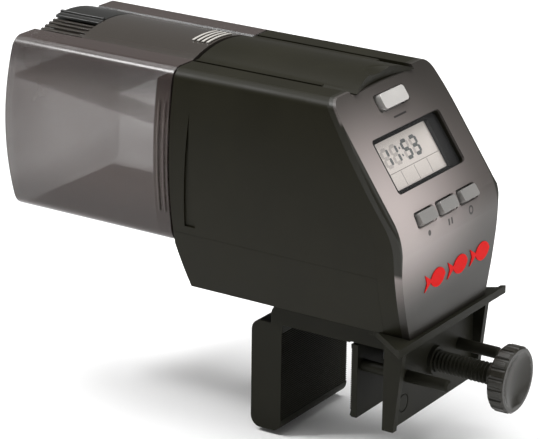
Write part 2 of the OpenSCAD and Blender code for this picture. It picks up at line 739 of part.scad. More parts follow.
module gear_plate() {
  color([0.2, 0.2, 0.2]) difference() {
    along_x(plate_in, plate_in + plate_t) translate([-4.5, mid_z + 4.5]) rounded(52, 43, 4);
    at_shaft() rod(plate_in - 1, plate_in + 5, shaft_d / 2 + run);
    for (p = post_at) translate([0, p[0], p[1]]) rod(plate_in - 1, plate_in + 5, 1.25);
    for (p = idler_at) translate([0, p[0], p[1]]) rod(plate_in - 1, plate_in + 5, 1);
    translate([0, motor_at[0], motor_at[1]]) {
      rod(plate_in - 1, plate_in + 5, 3.1);
      for (s = [-1, 1]) translate([0, s * 6.6, 0]) rod(plate_in - 1, plate_in + 5, 1);
    }
  }
}
module facing_x(p, x) { translate([x, p[0], p[1]]) rotate([0, -90, 0]) children(); }
module plate_screws() {
  color([0.7, 0.7, 0.72]) for (p = post_at) facing_x(p, plate_in + plate_t) self_tapper(1.05, plate_t + 6, 2.3, 1.4);
}
motor_x = plate_in + plate_t;
module motor_pinion() {
  color([0.85, 0.75, 0.45]) translate([0, motor_at[0], motor_at[1]]) difference() {
    gear(pinion_n, angle_m + 180 + 180 / pinion_n, layer_x[2] - 0.3, layer_x[2] + gear_t + 0.5);
    rod(rear_x, plate_in, 1);
  }
}
module motor_shaft() {
  color([0.75, 0.75, 0.77]) translate([0, motor_at[0], motor_at[1]]) rod(layer_x[2] - 0.3, motor_x + 23.6, 1);
}
module motor_outline() {
  intersection() {
    circle(10);
    square([22, 15], center = true);
  }
}
module motor_can() {
  color([0.7, 0.7, 0.72]) translate([0, motor_at[0], motor_at[1]]) difference() {
    union() {
      along_x(motor_x, motor_x + 20) motor_outline();
      rod(motor_x - plate_t + 0.4, motor_x, 3);
    }
    rod(motor_x + 1, motor_x + 21, 5);
    rod(motor_x - 3, motor_x + 2, 1 + run);
    for (s = [-1, 1]) translate([0, s * 6.6, 0]) rod(motor_x - 1, motor_x + 4, 0.95);
  }
}
module motor_cap() {
  color([0.9, 0.9, 0.88]) translate([0, motor_at[0], motor_at[1]]) difference() {
    union() {
      along_x(motor_x + 20, motor_x + 23) motor_outline();
      rod(motor_x + 23, motor_x + 24.6, 3);
    }
    rod(motor_x + 19, motor_x + 23.8, 1 + run);
  }
}
module motor_screws() {
  color([0.7, 0.7, 0.72]) for (s = [-1, 1]) translate([plate_in, motor_at[0] + s * 6.6, motor_at[1]])
    rotate([0, 90, 0]) self_tapper(0.9, plate_t + 3, 1.7, 0.9);
}

// ---- Battery bay on the far side ----
cell_d = 14.2;
cell_len = 50.5;
cell_y = 16.2;
cell_z = [bottom_z + wall + 8.6, bottom_z + wall + 23.8];
holder_y = [7.9, 23.6];
holder_x = [-31.4, 25.6];
holder_h = 32.4;
holder_top = bottom_z + wall + holder_h;
cell_x = -27;
module battery_holder() {
  color([0.14, 0.14, 0.14]) difference() {
    translate([holder_x[0], holder_y[0], bottom_z + wall])
      cube([holder_x[1] - holder_x[0], holder_y[1] - holder_y[0], holder_h]);
    translate([holder_x[0] + 1.2, holder_y[0] + 1.2, bottom_z + wall + 1.2])
      cube([holder_x[1] - holder_x[0] - 2.4, 40, holder_h - 2.4]);
  }
}
module battery_cells() {
  color([0.2, 0.45, 0.25]) for (z = cell_z) translate([0, cell_y, z]) {
    rod(cell_x, cell_x + cell_len - 1, cell_d / 2);
    rod(cell_x + cell_len - 1, cell_x + cell_len, 2.7);
  }
}
function coil(r, wire, from, len, turns, per) = [for (i = [0:turns * per]) let (a = i * 360 / per)
  [from + wire + (len - 2 * wire) * i / (turns * per), r * cos(a), r * sin(a)]];
module coil_wire(r, wire, from, len, turns) {
  per = 14;
  sides = 6;
  path = coil(r, wire, from, len, turns, per);
  n = len(path);
  pts = [for (i = [0:n - 1]) let (a = i * 360 / per) for (k = [0:sides - 1]) let (b = k * 360 / sides)
    path[i] + wire * [cos(b), sin(b) * cos(a), sin(b) * sin(a)]];
  faces = concat([[for (k = [0:sides - 1]) k]],
    [for (i = [0:n - 2], k = [0:sides - 1]) let (a = i * sides, b = a + sides, q = (k + 1) % sides)
      [a + k, b + k, b + q, a + q]],
    [[for (k = [sides - 1:-1:0]) (n - 1) * sides + k]]);
  polyhedron(pts, faces, convexity = 6);
}
module battery_springs() {
  color([0.8, 0.8, 0.82]) for (z = cell_z) translate([0, cell_y, z])
    coil_wire(3.6, 0.35, holder_x[0] + 1.6, cell_x - holder_x[0] - 1.62, 3);
}
module contact_plates() {
  color([0.8, 0.8, 0.82]) {
    translate([holder_x[0] + 1.2, cell_y - 6, cell_z[0] - 6]) cube([0.4, 12, cell_z[1] - cell_z[0] + 12]);
    for (z = cell_z) translate([holder_x[1] - 1.6, cell_y - 6, z - 6]) cube([0.4, 12, 12]);
  }
}
cover_gap = 0.3;
cover_t = 1.4;
module battery_cover() {
  color([0.1, 0.1, 0.095]) union() {
    intersection() {
      along_x(bay[0] - 4, front_reach - 5.5) difference() {
        flanks(-cover_gap - cover_t, bottom_z - 3, 3);
        flanks(-cover_gap, bottom_z - 3, 3);
      }
      across(far) translate([(bay[0] - 4 + front_reach - 5.5) / 2, (bay[2] + bay[3]) / 2])
        rounded(front_reach - 5.5 - bay[0] + 4, bay[3] - bay[2] + 7, 4);
      translate([-far, 0, -far]) cube([2 * far, 2 * far, 2 * far]);
    }
    intersection() {
      along_x(bay[0] + 0.35, bay[1] - 0.35) difference() {
        flanks(-cover_gap - 0.2, bottom_z - 3, 3);
        flanks(wall + 0.8, bottom_z - 3, 3);
      }
      difference() {
        translate([bay[0] + 0.35, 0, bay[2] + 0.35])
          cube([bay[1] - bay[0] - 0.7, far, bay[3] - bay[2] - 0.7]);
        translate([bay[0] + 1.6, -1, bay[2] + 1.6]) cube([bay[1] - bay[0] - 3.2, far, bay[3] - bay[2] - 3.2]);
      }
    }
  }
}
module housing_screws() {
  color([0.7, 0.7, 0.72]) for (p = boss_at) translate([p[0], p[1], part_z - 5]) self_tapper(1.15, 12, 2.7, 1.8);
}
module saddle_screws() {
  color([0.7, 0.7, 0.72]) for (x = saddle_screw_x) translate([x, 0, 3]) self_tapper(1.25, bottom_z + 4, 2.8, 1.8);
}

// ---- Clamp ----
half_jaw = jaw_w / 2;
rear_face = -rim_gap / 2;
front_face = rim_gap / 2;
plate_thick = 2.6;
fin_t = 2.6;
lip_t = 1.6;
function grip_profile(face, out, top, low) =
  let (n = floor((top - low) / rib_pitch))
  [for (i = [0:n - 1]) each [[face, top - i * rib_pitch], [face + out, top - (i + 0.5) * rib_pitch]]];
module rear_jaw_outline() {
  w = rear_jaw_t;
  difference() {
    union() {
      translate([rear_face - w / 2, -rear_jaw_h / 2]) rounded(w, rear_jaw_h, 4);
      translate([rear_face - 4, -5]) square([4, 7]);
    }
    polygon(concat([[rear_face + 1, -3]], [[rear_face + 1, 4 - rear_jaw_h]],
      [for (i = [len(grip_profile(rear_face, -0.45, -3, 4 - rear_jaw_h)) - 1:-1:0])
        grip_profile(rear_face, -0.45, -3, 4 - rear_jaw_h)[i]]));
  }
}
saddle_back = rear_face - 4.8;
seat_relief = 0.4;
lip_front = front_reach - 0.1;
lip_clear = 0.8;
module saddle_plan() {
  polygon([[saddle_back, -half_jaw - 1], [plate_x - 8, -half_jaw - 1.6], [plate_x - 2, -half_jaw - 6],
    [lip_front + lip_clear + lip_t, -lip_w / 2], [lip_front + lip_clear + lip_t, lip_w / 2],
    [plate_x - 2, half_jaw + 6], [plate_x - 8, half_jaw + 1.6], [saddle_back, half_jaw + 1]]);
}
module clamp_bracket() {
  boss_r = screw_d / 2 + 1.3;
  plate_top = 3;
  color([0.09, 0.09, 0.09]) difference() {
    union() {
      across(half_jaw) rear_jaw_outline();
      // Saddle block with its rounded rear end
      across(half_jaw) difference() {
        translate([saddle_back, 0]) square([plate_x + 1 - saddle_back, saddle_t]);
        translate([saddle_back, saddle_t - 5]) difference() {
          translate([-1, 0]) square([6, 6]);
          translate([5, 0]) circle(5);
        }
        // Relief that keeps the seat to the gap between the jaws
        translate([front_face - 0.6, -1]) square([far, 1 + seat_relief]);
      }
      // Flared front lip
      difference() {
        intersection() {
          translate([0, 0, saddle_t - 2.4]) linear_extrude(3) saddle_plan();
          translate([plate_x - 10, -far, 0]) cube([far, 2 * far, far]);
        }
        intersection() {
          translate([0, 0, bottom_z]) linear_extrude(3) translate([-lip_t, 0]) saddle_plan();
          translate([-far, -far, 0]) cube([far + lip_front + lip_clear, 2 * far, far]);
        }
      }
      // Front plate, its tapering side fins and the screw boss
      translate([plate_x, -bracket_w / 2, -plate_h]) cube([plate_thick, bracket_w, plate_h + plate_top + 3]);
      for (s = [-1, 1]) translate([0, s * (bracket_w - fin_t) / 2, 0]) across(fin_t / 2)
        polygon([[plate_x, -plate_h], [plate_x + 4.4, -plate_h], [plate_x + 7.6, saddle_t - 2],
          [plate_x, saddle_t - 2]]);
      translate([0, 0, -screw_drop]) rod(plate_x - 1.5, plate_x + plate_thick + 1.6, boss_r);
      for (s = [-1, 1]) translate([0, s * pin_gap / 2, -screw_drop]) rod(plate_x - 5, plate_x + 1, pin_d / 2 + 1.2);
    }
    translate([0, 0, -screw_drop]) rod(plate_x - 10, plate_x + 20, screw_d / 2 + 0.08);
    for (s = [-1, 1]) translate([0, s * pin_gap / 2, -screw_drop]) rod(plate_x - 10, plate_x + 10, pin_d / 2 + 0.08);
    for (s = [-1, 1]) translate([0, s * 20.6, -plate_h + 7.4]) difference() {
      rod(plate_x + plate_thick - 0.3, plate_x + 10, 3.4);
      rod(plate_x + plate_thick - 1, plate_x + 10, 3);
    }
    for (x = saddle_screw_x) translate([x, 0, -1]) {
      cylinder(h = 20, r = 1.5);
      cylinder(h = 4, r = 3.1);
    }
  }
}
module movable_jaw() {
  grip = grip_profile(front_face, 0.45, -2, 2 - front_jaw_h);
  color([0.09, 0.09, 0.09]) difference() {
    across(half_jaw) polygon(concat([[front_face, -0.4]], grip,
      [[front_face, -front_jaw_h + 0.6], [front_face + 0.8, -front_jaw_h], [front_face + front_jaw_t, -front_jaw_h],
      [front_face + front_jaw_t, -0.4]]));
    translate([0, 0, -screw_drop]) rod(front_face + 1, far, 3 + run);
    for (s = [-1, 1]) translate([0, s * pin_gap / 2, -screw_drop]) rod(front_face + 1, far, pin_d / 2);
  }
}
pin_tip = 50.8;
module guide_pins() {
  color([0.09, 0.09, 0.09]) for (s = [-1, 1]) translate([0, s * pin_gap / 2, -screw_drop]) {
    rod(front_face + 1, pin_tip - 0.6, pin_d / 2);
    translate([pin_tip - 0.6, 0, 0]) rotate([0, 90, 0]) cylinder(h = 0.6, r1 = pin_d / 2, r2 = pin_d / 2 - 0.6);
  }
}
thread_end = 57;
module clamp_screw() {
  root = screw_d / 2 - 0.7;
  thread_start = front_face + front_jaw_t + 4;
  turns = floor((thread_end - thread_start) / screw_pitch);
  outline = concat([[0, front_face + 1.1], [3, front_face + 1.1], [3, thread_start - 1], [root, thread_start]],
    [for (i = [0:turns - 1]) let (x = thread_start + i * screw_pitch)
      each [[root, x + 0.15], [screw_d / 2, x + 0.65], [screw_d / 2, x + 0.85], [root, x + 1.35]]],
    [[root, thread_end], [3.1, thread_end + 0.5], [3.1, 63], [0, 63]]);
  color([0.08, 0.08, 0.08]) translate([0, 0, -screw_drop]) rotate([0, 90, 0]) rotate_extrude() polygon(outline);
}
module screw_retainer() {
  color([0.75, 0.75, 0.77]) translate([0, 0, -screw_drop]) difference() {
    rod(front_face + front_jaw_t + 0.15, front_face + front_jaw_t + 1, 5.4);
    rod(0, far, 3);
  }
}
knob_x = 61.5;
knob_t = 6;
module clamp_knob() {
  lobes = 20;
  color([0.1, 0.1, 0.1]) translate([0, 0, -screw_drop]) difference() {
    union() {
      rod(knob_x - 3.5, knob_x + 1, 5);
      translate([knob_x, 0, 0]) rotate([0, 90, 0]) rotate_extrude() polygon([[0, 0], [knob_d / 2 - 0.8, 0],
        [knob_d / 2, 0.8], [knob_d / 2, knob_t - 0.8], [knob_d / 2 - 0.8, knob_t], [0, knob_t]]);
    }
    for (i = [0:lobes - 1]) rotate([i * 360 / lobes, 0, 0]) translate([knob_x - 1, 0, knob_d / 2 + 0.5])
      rotate([0, 90, 0]) cylinder(h = knob_t + 2, r = 1.1);
    translate([knob_x + knob_t + 17.3, 0, 0]) sphere(20);
    rod(knob_x - 5, 63, 3.1);
  }
}

hopper_shell();
hopper_hub();
food_guide();
hopper_lid();
dosing_gate();
housing_main();
bottom_cover();
front_ring();
control_panel();
panel_emblem();
lcd_window();
lcd_bezel();
lcd_glass();
lcd_holder();
feed_button();
set_button_left();
set_button_middle();
set_button_right();
main_pcb();
tact_switches();
control_chip();
capacitors();
pcb_screws();
shaft_bush();
drive_shaft();
drive_coupler();
output_gear();
home_magnet();
reed_switch();
idler_gear_b();
idler_gear_a();
gear_pins();
gear_plate();
plate_screws();
motor_pinion();
motor_shaft();
motor_can();
motor_cap();
motor_screws();
battery_holder();
battery_cells();
battery_springs();
contact_plates();
battery_cover();
housing_screws();
saddle_screws();
clamp_bracket();
movable_jaw();
guide_pins();
clamp_screw();
screw_retainer();
clamp_knob();
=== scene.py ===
# Looks of the clamp-on automatic fish feeder, in metres, in the frame of its CAD model:
# +X to the control panel, +Z up, the rim seat's middle at the origin.
import json
import math
import bmesh
import bpy
from mathutils import Matrix, Vector


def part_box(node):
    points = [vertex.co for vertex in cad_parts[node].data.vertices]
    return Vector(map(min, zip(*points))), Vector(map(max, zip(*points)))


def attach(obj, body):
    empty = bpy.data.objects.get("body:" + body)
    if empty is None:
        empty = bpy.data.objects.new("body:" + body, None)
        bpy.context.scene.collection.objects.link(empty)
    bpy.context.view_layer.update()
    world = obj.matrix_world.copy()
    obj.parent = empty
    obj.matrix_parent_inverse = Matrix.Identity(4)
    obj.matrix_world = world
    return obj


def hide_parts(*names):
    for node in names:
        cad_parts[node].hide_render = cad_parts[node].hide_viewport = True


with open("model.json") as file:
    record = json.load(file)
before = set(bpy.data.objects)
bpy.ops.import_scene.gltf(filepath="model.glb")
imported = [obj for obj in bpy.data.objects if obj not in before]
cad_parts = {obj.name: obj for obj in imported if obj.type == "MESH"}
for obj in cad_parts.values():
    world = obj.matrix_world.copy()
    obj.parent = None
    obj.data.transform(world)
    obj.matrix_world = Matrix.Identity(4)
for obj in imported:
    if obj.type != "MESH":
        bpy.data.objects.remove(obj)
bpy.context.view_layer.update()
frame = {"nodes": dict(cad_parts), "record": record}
nodes = frame["nodes"]
MM = 0.001
FACE_TILT = math.radians(34.4)
FACE_DATUM = Vector((0.026419, 0, 0.065))
ACROSS = Vector((0, 1, 0))
UP_FACE = Vector((-math.sin(FACE_TILT), 0, math.cos(FACE_TILT)))
OUT_FACE = Vector((math.cos(FACE_TILT), 0, math.sin(FACE_TILT)))
# How dark the painted shade makes the smoke plastic
PAINTED_SHADE_GAIN = 0.45
DRUM_AXIS_Z = 0.057
ARCH_AXIS_Z = 0.042
# Printed marks and display work on the face, in millimetres across and up from its datum
BUTTON_PITCH = 14.3
MARK_ROW = -25.2
FIGURE_ROW = 3.6
RULE_ROW = -1.9
# Meshing
MERGE_DISTANCE = 2e-6
FLAT_ANGLE = math.radians(0.4)
SHARP_ANGLE = math.radians(32)
ROUND_ABOVE = math.radians(30)
# Stage
FLOOR_HALF = 4
FLOOR_Z = -0.0425
WORLD_STRENGTH = 0.2


# ---- Materials -------------------------------------------------------------------------------

class Value:
    """A number from a node's output. Arithmetic on it adds the Math nodes."""

    def __init__(self, finish, socket):
        self.finish, self.socket = finish, socket

    def math(self, operation, *others):
        return self.finish.value("ShaderNodeMath", {"operation": operation}, self, *others)

    def __add__(self, other): return self.math("ADD", other)
    def __sub__(self, other): return self.math("SUBTRACT", other)
    def __mul__(self, other): return self.math("MULTIPLY", other)
    def __pow__(self, other): return self.math("POWER", other)
    def __radd__(self, other): return self + other
    def __rmul__(self, other): return self * other
    def __rsub__(self, other): return self * -1 + other
    def size(self): return self.math("ABSOLUTE")
    def least(self, other): return self.math("MINIMUM", other)
    def most(self, other): return self.math("MAXIMUM", other)

    def ramp(self, low, high, out_low=0.0, out_high=1.0):
        """Rises smoothly from out_low to out_high as the value goes from low to high."""
        settings = {"interpolation_type": "SMOOTHSTEP", "clamp": True}
        return self.finish.value("ShaderNodeMapRange", settings, self, low, high, out_low, out_high)


class Finish:
    """One material: a Principled surface with the patterns that feed it."""

    def __init__(self, name, **constants):
        self.material = bpy.data.materials.new(name)
        self.material.use_nodes = True
        self.tree = self.material.node_tree
        self.shader = self.tree.nodes["Principled BSDF"]
        for socket, value in constants.items():
            self.shader.inputs[socket.replace("_", " ")].default_value = value

    @classmethod
    def of(cls, material):
        """Opens a material that is already made, to add to it."""
        finish = cls.__new__(cls)
        finish.material, finish.tree = material, material.node_tree
        finish.shader = finish.tree.nodes["Principled BSDF"]
        return finish

    def node(self, kind, settings=None, *values, **named):
        made = self.tree.nodes.new(kind)
        for key, value in (settings or {}).items():
            setattr(made, key, value)
        pairs = list(zip(made.inputs, values))
        pairs += [(made.inputs[key.replace("_", " ")], value) for key, value in named.items()]
        for socket, value in pairs:
            self.feed(socket, value)
        return made

    def feed(self, socket, value):
        if value is None:
            return
        if isinstance(value, Value):
            self.tree.links.new(value.socket, socket)
        elif isinstance(value, bpy.types.NodeSocket):
            self.tree.links.new(value, socket)
        else:
            socket.default_value = value

    def value(self, kind, settings=None, *values, output=0, **named):
        return Value(self, self.node(kind, settings, *values, **named).outputs[output])

    def place(self, scale=(1, 1, 1)):
        """Object coordinates, scaled along each axis."""
        here = self.node("ShaderNodeTexCoord").outputs["Object"]
        return self.node("ShaderNodeMapping", {"vector_type": "POINT"}, here, Scale=scale).outputs[0]

    def along(self, direction, start=(0, 0, 0)):
        """Distance in metres along a direction, from a starting point."""
        here = self.node("ShaderNodeTexCoord").outputs["Object"]
        offset = self.node("ShaderNodeVectorMath", {"operation": "SUBTRACT"}, here, start)
        return self.value("ShaderNodeVectorMath", {"operation": "DOT_PRODUCT"}, offset.outputs[0],
                          direction, output=1)

    def noise(self, scale, detail=2.0, rough=0.5, where=None):
        return self.value("ShaderNodeTexNoise", None, Vector=where or self.place(), Scale=scale,
                          Detail=detail, Roughness=rough)

    def cells(self, scale, feature, where):
        return self.value("ShaderNodeTexVoronoi", {"feature": feature}, Vector=where, Scale=scale)

    def mix(self, amount, first, second):
        """Goes from the first colour to the second, each a (r, g, b) or a socket."""
        made = self.node("ShaderNodeMix", {"data_type": "RGBA"})
        for index, value in ((0, amount), (6, first), (7, second)):
            self.feed(made.inputs[index], (*value, 1) if isinstance(value, tuple) else value)
        return made.outputs[2]

    def relief(self, height, strength, depth):
        """Feeds the height, from 0 to 1, to the shader's normal; depth is in metres."""
        bump = self.node("ShaderNodeBump", None, Strength=strength, Distance=depth, Height=height)
        self.tree.links.new(bump.outputs[0], self.shader.inputs["Normal"])

    def set(self, **sockets):
        for socket, value in sockets.items():
            self.feed(self.shader.inputs[socket.replace("_", " ")], value)
        return self


def tinted(shade, gain):
    """A colour made lighter or darker."""
    return tuple(min(1, c * gain) for c in shade)


def from_datum(finish, way):
    """Distance from the face's datum, across, up or out of the tilted face."""
    return finish.along(tuple(way), tuple(FACE_DATUM))


def moulded(name, shade, rough, grain, specular=0.4, spot=0.25):
    """Moulded plastic: spark-eroded grain, slow waviness of the gloss, faint handling marks."""
    finish = Finish(name, Specular_IOR_Level=specular)
    fine = finish.noise(2600, 3, 0.6)
    slow = finish.noise(45, 3, 0.5)
    rubbed = finish.noise(16, 4, 0.65).ramp(0.52, 0.72)
    patch = slow.ramp(0.35, 0.7) * 0.6 + fine * 0.3
    finish.set(Base_Color=finish.mix(patch, shade, tinted(shade, 1 + spot)),
               Roughness=(slow - 0.5) * 0.12 + fine * 0.06 - rubbed * 0.05 + rough)
    finish.relief(fine, grain, 0.00004)
    return finish


def body_black():
    shade = (0.0108, 0.0101, 0.0056)
    return moulded("satin_black_body", shade, 0.38, 0.15, specular=0.10).material


def clamp_black():
    shade = (0.0128, 0.0125, 0.0088)
    return moulded("satin_black_clamp", shade, 0.42, 0.12, specular=0.07).material


def knob_black():
    shade = (0.016, 0.0145, 0.0105)
    return moulded("semi_gloss_knob", shade, 0.27, 0.08, specular=0.33).material


def graphite():
    """Control panel: satin graphite lacquer with a painted sheen, palest low down, with plain marks
    by the buttons.
    """
    finish = moulded("graphite_panel", (0.019, 0.017, 0.014), 0.36, 0.2, specular=0.26)
    across, up, out = (from_datum(finish, way) for way in (ACROSS, UP_FACE, OUT_FACE))

    def from_mark(x):
        """Distance from the middle of a mark in the row under the buttons."""
        side, rise = across - x * MM, up - MARK_ROW * MM
        return (side * side + rise * rise) ** 0.5

    dot = from_mark(-BUTTON_PITCH).ramp(0.0008, 0.00105, 1, 0)
    ring = (from_mark(BUTTON_PITCH) - 0.0012).size().ramp(0.0002, 0.00045, 1, 0)
    bars = ((across.size() - 0.0010).size().ramp(0.0004, 0.0006, 1, 0)
            * (up - MARK_ROW * MM).size().ramp(0.0009, 0.0012, 1, 0))
    dash = (across.size().ramp(0.0040, 0.0042, 1, 0)
            * (up - 0.0150).size().ramp(0.00028, 0.0004, 1, 0))
    print_mask = dot.most(ring).most(bars).most(dash)
    # Painted sheen: the lacquer is coloured palest low down and to the near side, darker towards the
    # top and the far side
    pale = (up.ramp(-0.048, -0.020) * up.ramp(-0.014, 0.034, 1, 0.05)
            * across.ramp(-0.030, 0.032, 1, 0.14))
    # Past the face's sides, and behind its plane above the lower lip, the panel is coloured
    # near-black
    turned_back = out.ramp(-0.0012, -0.0007, 1, 0) * up.ramp(-0.022, -0.020)
    dark_returns = across.size().ramp(0.0326, 0.0330).most(turned_back)
    base = finish.shader.inputs["Base Color"].links[0].from_socket
    # The lacquer colour with its painted sheen mixed in
    lacquer = finish.mix(pale, base, (0.44, 0.385, 0.37))
    marked = finish.mix(print_mask * 0.85, lacquer, (0.010, 0.009, 0.009))
    finish.set(Base_Color=finish.mix(dark_returns, marked, (0.012, 0.0112, 0.0065)))
    return finish.material


def smoke(name, shade, cover, rough=0.16):
    """Smoke plastic's outer skin: denser at grazing angles, thinly dusted; painted shade darkens it
    and makes it more opaque along its bottom, along its top and at the end away from the panel.
    """
    finish = Finish(name, Specular_IOR_Level=0.35, IOR=1.5)
    dust = finish.noise(38, 4, 0.6).ramp(0.45, 0.75)
    streaks = finish.noise(26, 3, 0.5, finish.place(scale=(0.25, 1, 1)))
    edge = finish.value("ShaderNodeLayerWeight", None, 0.5, output=1)
    height = finish.along((0, 0, 1))
    # Painted shade, darkening and thickening the skin: the end away from the panel (end), the bottom
    # band and the top band
    end = finish.along((1, 0, 0)).ramp(-0.124, -0.100, 0.6, 0)
    painted_shade = height.ramp(0.030, 0.050, 1, 0).most(height.ramp(0.070, 0.084)).most(end)
    body = finish.mix(dust * 0.4, shade, tinted(shade, 1.25))
    covered = edge ** 2 * 0.55 + dust * 0.04 + (streaks - 0.5) * 0.05 + painted_shade * 0.2 + cover
    finish.set(Base_Color=finish.mix(painted_shade, body, tinted(shade, PAINTED_SHADE_GAIN)),
               Alpha=covered.least(0.98), Roughness=streaks * 0.08 + dust * 0.1 + rough)
    return finish.material


def smoke_lid():
    """The lid: denser smoke plastic with a pale painted highlight along the crests of its thumb
    ribs.
    """
    material = smoke("smoke_lid", (0.085, 0.074, 0.064), 0.72, 0.12)
    finish = Finish.of(material)
    run, side, height = finish.along((1, 0, 0)), finish.along((0, 1, 0)), finish.along((0, 0, 1))
    radius = (side * side + (height - ARCH_AXIS_Z) ** 2) ** 0.5
    # Painted highlight: the thumb ribs' crests are coloured pale
    painted_rib_highlight = radius.ramp(0.0502, 0.0505) * run.ramp(-0.066, -0.065)
    base = finish.shader.inputs["Base Color"].links[0].from_socket
    finish.set(Base_Color=finish.mix(painted_rib_highlight * 0.8, base, (0.55, 0.53, 0.49)))
    return material


def smoke_inside():
    """Inner walls of the smoke plastic, which only tint what is behind them."""
    finish = Finish("smoke_inside", Specular_IOR_Level=0.1)
    dust = finish.noise(38, 4, 0.6).ramp(0.45, 0.75)
    finish.set(Base_Color=finish.mix(dust, (0.06, 0.05, 0.047), (0.12, 0.10, 0.095)),
               Alpha=dust * 0.05 + 0.05, Roughness=dust * 0.1 + 0.5)
    return finish.material


def silver(name, low, high):
    """Satin silver lacquer on the buttons."""
    finish = Finish(name, Specular_IOR_Level=0.5, Coat_Weight=0.15, Coat_Roughness=0.2)
    flake = finish.noise(5200, 2, 0.6)
    worn = finish.noise(300, 3, 0.6).ramp(0.55, 0.8)
    dark, bright = ((level, level * 0.97, level * 0.93) for level in (low, high))
    finish.set(Base_Color=finish.mix(flake, dark, bright),
               Metallic=flake * 0.1 + 0.35, Roughness=flake * 0.12 + worn * 0.1 + 0.28)
    finish.relief(flake, 0.12, 0.00003)
    return finish.material


def display_grey():
    """Liquid crystal panel: silvery grey with a very fine cell grid."""
    finish = Finish("display_grey", Specular_IOR_Level=0.35)
    across, up = from_datum(finish, ACROSS), from_datum(finish, UP_FACE)
    cells_per_metre = 9000
    grid = (across * cells_per_metre).math("SINE") * (up * cells_per_metre).math("SINE") * 0.5 + 0.5
    cloud = finish.noise(90, 2, 0.5)
    blotch = grid * 0.3 + cloud * 0.5
    finish.set(Base_Color=finish.mix(blotch, (0.94, 0.86, 0.80), (1.0, 0.93, 0.87)),
               Roughness=cloud * 0.1 + 0.38)
    finish.relief(grid, 0.05, 0.00001)
    return finish.material


def display_ink(name="display_ink", shade=(0.16, 0.165, 0.165)):
    finish = Finish(name, Specular_IOR_Level=0.3)
    soft = finish.noise(1500, 2, 0.5)
    finish.set(Base_Color=finish.mix(soft, shade, tinted(shade, 1.35)), Roughness=soft * 0.1 + 0.4)
    return finish.material


def window_clear():
    finish = Finish("window_clear", Specular_IOR_Level=0.5, IOR=1.49)
    faint = finish.noise(120, 3, 0.6)
    edge = finish.value("ShaderNodeLayerWeight", None, 0.3, output=1)
    finish.set(Base_Color=finish.mix(faint, (0.10, 0.10, 0.10), (0.16, 0.16, 0.16)),
               Alpha=edge * 0.35 + faint * 0.02 + 0.03, Roughness=faint * 0.05 + 0.05)
    return finish.material


def red_print():
    finish = Finish("red_print", Specular_IOR_Level=0.02)
    ink = finish.noise(1800, 3, 0.6)
    finish.set(Base_Color=finish.mix(ink, (0.56, 0.006, 0.006), (0.68, 0.010, 0.009)),
               Roughness=ink * 0.15 + 0.3)
    finish.relief(ink, 0.15, 0.00003)
    return finish.material


def plated(name, shade, rough, stretch=(1, 1, 1)):
    """Zinc or nickel plated steel with fine drawn lines and a few dull patches."""
    finish = Finish(name, Metallic=1.0)
    lines = finish.noise(1400, 4, 0.7, finish.place(scale=stretch))
    dull = finish.noise(140, 4, 0.6).ramp(0.5, 0.75)
    finish.set(Base_Color=finish.mix(dull * 0.6, shade, tinted(shade, 0.72)),
               Roughness=lines * 0.18 + dull * 0.14 + rough)
    finish.relief(lines, 0.12, 0.00003)
    return finish.material


def acetal():
    """Natural acetal, which lets a little light in."""
    finish = moulded("natural_acetal", (0.74, 0.72, 0.66), 0.38, 0.12, specular=0.5, spot=0.04)
    finish.shader.inputs["Subsurface Weight"].default_value = 0.15
    finish.shader.inputs["Subsurface Scale"].default_value = 0.001
    return finish.material


def solder_mask():
    """Circuit board: green mask over a faint pattern of copper tracks and tinned pads."""
    finish = Finish("board_green", Specular_IOR_Level=0.5)
    flat = finish.place()
    tracks = finish.cells(170, "DISTANCE_TO_EDGE", flat).ramp(0.02, 0.05, 1, 0)
    pads = finish.cells(420, "F1", flat).ramp(0.10, 0.16, 1, 0)
    green = finish.mix(tracks, (0.012, 0.085, 0.03), (0.03, 0.16, 0.055))
    finish.set(Base_Color=finish.mix(pads, green, (0.62, 0.60, 0.55)), Metallic=pads * 0.9,
               Roughness=finish.noise(500) * 0.1 + 0.25)
    finish.relief(tracks.most(pads), 0.3, 0.00005)
    return finish.material


def cell_wrap():
    """Printed film of the cells: dark green with a copper end and a thin ring between them."""
    finish = Finish("cell_wrap", Specular_IOR_Level=0.5, Coat_Weight=0.4, Coat_Roughness=0.1)
    run = finish.along((1, 0, 0))
    end = run.ramp(0.0098, 0.0100)
    ring = (run - 0.0085).size().ramp(0.0003, 0.0005, 1, 0)
    body = finish.mix(end, (0.015, 0.10, 0.045), (0.45, 0.22, 0.08))
    finish.set(Base_Color=finish.mix(ring, body, (0.75, 0.75, 0.72)), Metallic=end * 0.8,
               Roughness=finish.noise(260, 3) * 0.12 + 0.24)
    return finish.material


def sleeve_blue():
    """Capacitor sleeve with its pale polarity stripe."""
    finish = Finish("capacitor_sleeve", Specular_IOR_Level=0.5)
    side = from_datum(finish, ACROSS)
    stripe = ((side - 0.015).size() - 0.0022).size().ramp(0.0002, 0.0004, 1, 0)
    cloud = finish.noise(700)
    body = finish.mix(cloud, (0.01, 0.02, 0.12), (0.02, 0.035, 0.2))
    finish.set(Base_Color=finish.mix(stripe, body, (0.6, 0.62, 0.66)), Roughness=cloud * 0.1 + 0.3)
    return finish.material


def reed_green():
    finish = Finish("reed_glass", Specular_IOR_Level=0.6)
    cloud = finish.noise(600)
    finish.set(Base_Color=finish.mix(cloud, (0.05, 0.20, 0.08), (0.14, 0.38, 0.17)),
               Roughness=cloud * 0.1 + 0.12)
    return finish.material


def floor_pale():
    finish = Finish("pale_floor", Specular_IOR_Level=0.1)
    cloud = finish.noise(6, 2, 0.5)
    finish.set(Base_Color=finish.mix(cloud, (0.93, 0.93, 0.93), (0.95, 0.95, 0.95)),
               Roughness=cloud * 0.05 + 0.6)
    return finish.material


